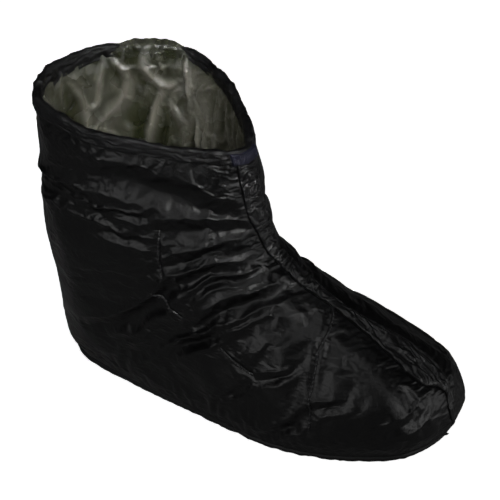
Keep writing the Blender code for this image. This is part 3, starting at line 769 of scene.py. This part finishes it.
def makeBinding():
    # tape folded over the collar's edge, a U in section
    s = bindingSizes
    far = shoe["gap"] + shoe["bindingTape"]
    rise = np.linalg.norm(bare[-1] - bare[-41], axis=1) / 40
    columns = np.arange(columnCount)

    def ringBelow(drop):
        # the grid's points this far below the collar's edge, their directions and the wall there
        at = (len(bare) - 1) - drop / rise
        low = np.clip(np.floor(at).astype(int), 0, len(bare) - 2)
        f = (at - low)[:, None]
        fields = ((bare, columns), (bareOut, columns), (wall, 0))
        return [field[low, at] * (1 - f) + field[low + 1, at] * f for field, at in fields]

    loops = []
    wave = layered(bare[-1], 0.018, 33, 2)
    for share in np.linspace(1, 0.07, s["sideRows"]):
        point, way, _ = ringBelow(share * (shoe["bindingOut"] * s["outside"] + s["waver"] * wave))
        loops.append(point + way * far)
    point, way, thick = ringBelow(0.0)
    for angle in np.linspace(0, math.pi, s["topRows"]):
        half = thick / 2 + far
        raised = np.array([0, 0, 1]) * far * math.sin(angle)
        loops.append(point - way * thick / 2 + way * half * math.cos(angle) + raised)
    # wider inside at the back's left and at the front
    wide = (1 + s["backWide"] * hill(columnShare, 0, s["backReach"]) * (columnSide < 0)
            + s["frontWide"] * hill(columnShare, 1, s["frontReach"]))
    for share in np.linspace(0.08, 1, s["sideRows"]):
        point, way, thick = ringBelow(share * shoe["bindingIn"] * wide)
        loops.append(point - way * (thick + far))
    return np.stack(loops)


print("binding")
loops = makeBinding()
loopOut = outward(loops)
collarRun = runAlong(bare[-1])
rowRun = bindingSizes["rowSpace"] * np.arange(len(loops))[:, None]
tapePlace = np.stack(np.broadcast_arrays(collarRun[None], rowRun, 0 * loops[..., 0]), 2)
skew = tapePlace + 0.004 * layered(tapePlace, 0.02, 36, 2)[..., None] * [1, 1, 0]
pucker = 1.5 * (ridged(skew * [0.35, 1, 1], 0.0055, 31) - 0.5)
pucker = pucker + 0.8 * layered(tapePlace * [1, 0.4, 1], 0.011, 35, 2)
edge = np.minimum(np.arange(len(loops)), np.arange(len(loops))[::-1])[:, None]
loops = loops + loopOut * (bindingSizes["pucker"] * pucker * np.clip(edge / 2, 0.2, 1))[..., None]
hem = bindingSizes["hem"]
loops = np.concatenate([loops[:1] - loopOut[:1] * hem, loops, loops[-1:] - loopOut[-1:] * hem])
binding = newMesh("binding", loops, fabrics["tape"], closed=True)
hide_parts("collar_binding")


# Strip, with heights and sizes in metres
stripSizes = {
    "rows": 900, "columns": 61, "top": 0.985, "waver": 0.0009,
    "puff": 0.0012, "puffChange": 0.0008, "ruche": 0.0030, "shaftSize": 0.0062, "toeSize": 0.0060,
    "hem": -0.0022, "nextToHem": 0.0006, "lowest": -0.0004,
}


def makeStrip():
    # gathered cloth between the strip's edges: rows along it, columns across
    s = stripSizes
    steps = np.linspace(0, s["top"], s["rows"])
    left, right = blend(steps, stripEdges[:, 0], stripEdges[:, 1:]).T
    run = np.interp(steps, gridSteps, frontRun)
    runPlace = np.stack([run, 0 * run, 0 * run], 1)
    left = left + s["waver"] * layered(runPlace, 0.009, 91, 2)
    right = right + s["waver"] * layered(runPlace, 0.009, 95, 2)
    share = np.linspace(0, 1, s["columns"])
    across = left[:, None] + (right - left)[:, None] * share
    points, out = frontGrid(steps, across)
    place = np.stack([run[:, None] + 0 * across, across, 0 * across], 2)
    stray = [layered(place, 0.016, 80, 2) * 0.006, layered(place, 0.016, 82, 2) * 0.004, 0 * across]
    bent = place + np.stack(stray, 2)
    # short puckers up the shaft, long slanting ones over the toe
    shaftRuche = ridged(bent * [1, 0.45, 1], s["shaftSize"], 84)
    slant = np.stack([0.30 * bent[..., 0], bent[..., 1] - 0.25 * bent[..., 0], bent[..., 2]], 2)
    toeRuche = ridged(slant, s["toeSize"], 88)
    toeward = smoothStep((0.46 - steps) / 0.06)[:, None]
    ruche = shaftRuche * (1 - toeward) + toeRuche * toeward - 0.45
    crown = (1 - (2 * share - 1) ** 2) ** 0.5
    narrow = np.clip((right - left) / 0.012, 0.4, 1)[:, None]
    puffs = crown * (s["puff"] + s["puffChange"] * layered(place, 0.016, 97, 2))
    height = 0.0002 + narrow * (puffs + s["ruche"] * ruche * (0.2 + 0.8 * crown))
    height = np.maximum(height, s["lowest"])
    height[:, [0, -1]] = s["hem"]
    height[:, [1, -2]] -= s["nextToHem"]
    return points + out * height[..., None]


print("strip")
# its lighter cloth is painted highlight
strip = newMesh("strip", makeStrip(), fabrics["stripClothAndHighlight"])
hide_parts("front_strip")


# Sole: its rows as (inset, share of the height), the puckers at its edge, and the rows of its underside
soleSizes = {
    "rows": [(0.0006, 1.0), (-0.0006, 0.86), (-0.0007, 0.66), (0.0008, 0.42), (0.0032, 0.18), (0.0065, 0.04),
             (0.010, 0.0)],
    "in": 0.0004, "pucker": 0.0012, "ballPucker": 0.0016, "ballAt": 0.60, "ballWidth": 0.12,
    "puckerSize": 0.010, "underRows": 12, "springFrom": 0.70, "springReach": 0.30,
}


def soleBottom(point):
    reach = shoe["length"] / 2 - point[:, 1]
    past = reach - soleSizes["springFrom"] * shoe["length"]
    rise = np.maximum(0, past / (soleSizes["springReach"] * shoe["length"]))
    return shoe["spring"] * rise**2


def midway(loop):
    # the line halfway between a loop's two sides, at the length of each of its points
    sides = (loop[:sideColumns], np.concatenate([loop[:1], loop[:stripColumns.stop - 1:-1]]))
    right, left = (np.interp(-loop[:, 1], -side[:, 1], side[:, 0]) for side in sides)
    return (right + left) / 2


def makeSole():
    s = soleSizes
    base = bare[0]
    around = np.roll(base, -1, 0) - np.roll(base, 1, 0)
    inwardWay = np.stack([-around[:, 1], around[:, 0], 0 * around[:, 0]], 1)
    inwardWay /= np.linalg.norm(inwardWay, axis=1)[:, None]
    low = soleBottom(base)
    drawn = ridged(base, s["puckerSize"], 61) - 0.55
    drawn = drawn * (s["pucker"] + s["ballPucker"] * hill(columnShare, s["ballAt"], s["ballWidth"]))
    loops = []
    for inset, share in s["rows"]:
        pulled = drawn * math.sin(math.pi * min(share + 0.15, 1))
        p = base + inwardWay * (inset + s["in"] - pulled[:, None])
        z = low + (base[:, 2] - shoe["gap"] - low) * share
        loops.append(np.stack([p[:, 0], p[:, 1], z], 1))
    rim = loops[-1]
    middle = np.stack([midway(base), base[:, 1], low], 1)
    for share in np.linspace(0.1, 1, s["underRows"]):
        p = rim * (1 - share) + middle * share
        p[:, 2] = soleBottom(p)
        loops.append(p)
    return np.stack(loops)


print("sole")
sole = newMesh("sole_pad", makeSole(), fabrics["soleCloth"], closed=True, inward=True)
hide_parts("sole")

# Insole
insoleSizes = {"rows": 16, "dent": 0.0006, "dentSize": 0.045}
print("insole")
insoleBase = inner[0]
insoleMiddle = midway(insoleBase)
insoleLoops = []
for k, share in enumerate(np.linspace(0, 1, insoleSizes["rows"])):
    p = insoleBase.copy()
    p[:, 0] = insoleBase[:, 0] * (1 - share) + insoleMiddle * share
    p[:, 2] = insoleBase[:, 2] + (0.0 if k == 0 else shoe["insole"])
    insoleLoops.append(p)
insoleLoops = np.stack(insoleLoops)
insoleDents = layered(insoleLoops, insoleSizes["dentSize"], 77, 3)
insoleDents = insoleDents * smoothStep(np.arange(insoleSizes["rows"]) / 4)[:, None]
insoleLoops[..., 2] += insoleSizes["dent"] * insoleDents
insole = newMesh("insole_pad", insoleLoops, fabrics["pad"], closed=True)
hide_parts("insole")


# Tab: where it lies, its thread rows and its height in metres
tabSizes = {
    "steps": (0.952, 0.999), "across": (-0.0125, 0.0095), "rows": 40, "columns": 60,
    "thread": 0.0012, "height": 0.0036, "threadHeight": 0.0005, "lump": 0.0012, "edge": 0.0005,
}


def makeTab():
    # a block of close thread rows laid over the strip and the binding's front
    s = tabSizes
    steps = np.linspace(*s["steps"], s["rows"])
    across = np.linspace(*s["across"], s["columns"])
    points, out = frontGrid(steps, across)
    threads = np.abs(np.sin((across / s["thread"] + 0.25 * np.sin(steps[:, None] * 500)) * math.pi))
    lift = s["height"] + s["threadHeight"] * threads + s["lump"] * layered(points, 0.007, 99, 2)
    row, column = np.arange(s["rows"])[:, None], np.arange(s["columns"])[None]
    rim = np.minimum.reduce(np.broadcast_arrays(row, row[::-1], column, column[:, ::-1]))
    lift = np.where(rim == 0, s["edge"], lift * smoothStep((rim + 1.5) / 4))
    return points + out * lift[..., None]


print("tab")
tab = newMesh("tab", makeTab(), fabrics["thread"])
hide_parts("front_tab")

# Floor and backdrop: bright white to the camera, and dim to the light that the shoe reflects
print("floor")
stageLook = {
    "floorSize": 8, "floorDull": 0.9, "floorColour": (0.38, 0.9), "floorGlow": (0.0, 0.95),
    "backdrop": (0.005, 1.0),
}


def cameraTone(tree, socket, low, high):
    # one value for what the shoe reflects, and another for what the camera sees
    seen = tree.nodes.new("ShaderNodeLightPath")
    tone = tree.nodes.new("ShaderNodeMapRange")
    tone.inputs["To Min"].default_value = low
    tone.inputs["To Max"].default_value = high
    tree.links.new(seen.outputs["Is Camera Ray"], tone.inputs["Value"])
    tree.links.new(tone.outputs["Result"], socket)


floorMaterial = bpy.data.materials.new("floor")
floorMaterial.use_nodes = True
floorShader = floorMaterial.node_tree.nodes["Principled BSDF"]
floorShader.inputs["Roughness"].default_value = stageLook["floorDull"]
floorShader.inputs["Specular IOR Level"].default_value = 0.0
floorShader.inputs["Emission Color"].default_value = (1, 1, 1, 1)
cameraTone(floorMaterial.node_tree, floorShader.inputs["Base Color"], *stageLook["floorColour"])
cameraTone(floorMaterial.node_tree, floorShader.inputs["Emission Strength"], *stageLook["floorGlow"])
far = stageLook["floorSize"]
floorMesh = bpy.data.meshes.new("floor")
floorMesh.from_pydata([(-far, -far, 0), (far, -far, 0), (far, far, 0), (-far, far, 0)], [], [(0, 1, 2, 3)])
floorMesh.materials.append(floorMaterial)
floor = bpy.data.objects.new("floor", floorMesh)
bpy.context.scene.collection.objects.link(floor)

world = bpy.data.worlds.new("world")
bpy.context.scene.world = world
world.use_nodes = True
backdrop = world.node_tree.nodes["Background"]
backdrop.inputs["Color"].default_value = (1.0, 1.0, 1.0, 1)
cameraTone(world.node_tree, backdrop.inputs["Strength"], *stageLook["backdrop"])

# Lamps: place, what each points at, width and depth in metres, and watts
print("light and camera")
lamps = {
    "over": ((-0.3, -0.1, 1.7), (0, 0, 0.1), 1.3, 1.3, 3.2),
    "left": ((-1.45, 0.45, 0.85), (0, 0, 0.1), 1.1, 0.9, 4.1),
    "front": ((-0.5, -1.6, 0.9), (0, 0, 0.1), 0.9, 0.7, 4.4),
    "beam": ((-0.55, -0.75, 1.05), (0.02, 0.09, 0.19), 0.22, 0.22, 0.08),   # into the collar
    "low": ((0.55, -1.3, 0.25), (0, 0, 0.12), 0.7, 0.5, 1.6),
}
beamSpread = 14   # degrees
for name, (place, aim, width, depth, power) in lamps.items():
    lamp = bpy.data.lights.new(name, "AREA")
    lamp.shape = "RECTANGLE"
    lamp.size, lamp.size_y, lamp.energy = width, depth, power
    thing = bpy.data.objects.new(name, lamp)
    bpy.context.scene.collection.objects.link(thing)
    thing.location = place
    thing.rotation_mode = "QUATERNION"
    thing.rotation_quaternion = (Vector(aim) - Vector(place)).to_track_quat("-Z", "Y")
    if name == "beam":
        lamp.spread = math.radians(beamSpread)
view = {
    "sensor": 36, "lens": 136.3, "place": (-0.95726, -0.53417, 0.79582),
    "ahead": (0.74289, 0.41496, -0.52528), "right": (0.47154, -0.88135, -0.02936),
}
camera = bpy.data.cameras.new("camera")
camera.sensor_width = view["sensor"]
camera.lens = view["lens"]
camera.clip_start = 0.05
cameraThing = bpy.data.objects.new("camera", camera)
bpy.context.scene.collection.objects.link(cameraThing)
bpy.context.scene.camera = cameraThing
ahead = Vector(view["ahead"]).normalized()
rightWay = Vector(view["right"]).normalized()
upWay = rightWay.cross(ahead).normalized()
turn = Matrix((rightWay, upWay, -ahead)).transposed()
cameraThing.matrix_world = Matrix.Translation(view["place"]) @ turn.to_4x4()
bpy.context.scene.view_settings.view_transform = "Standard"
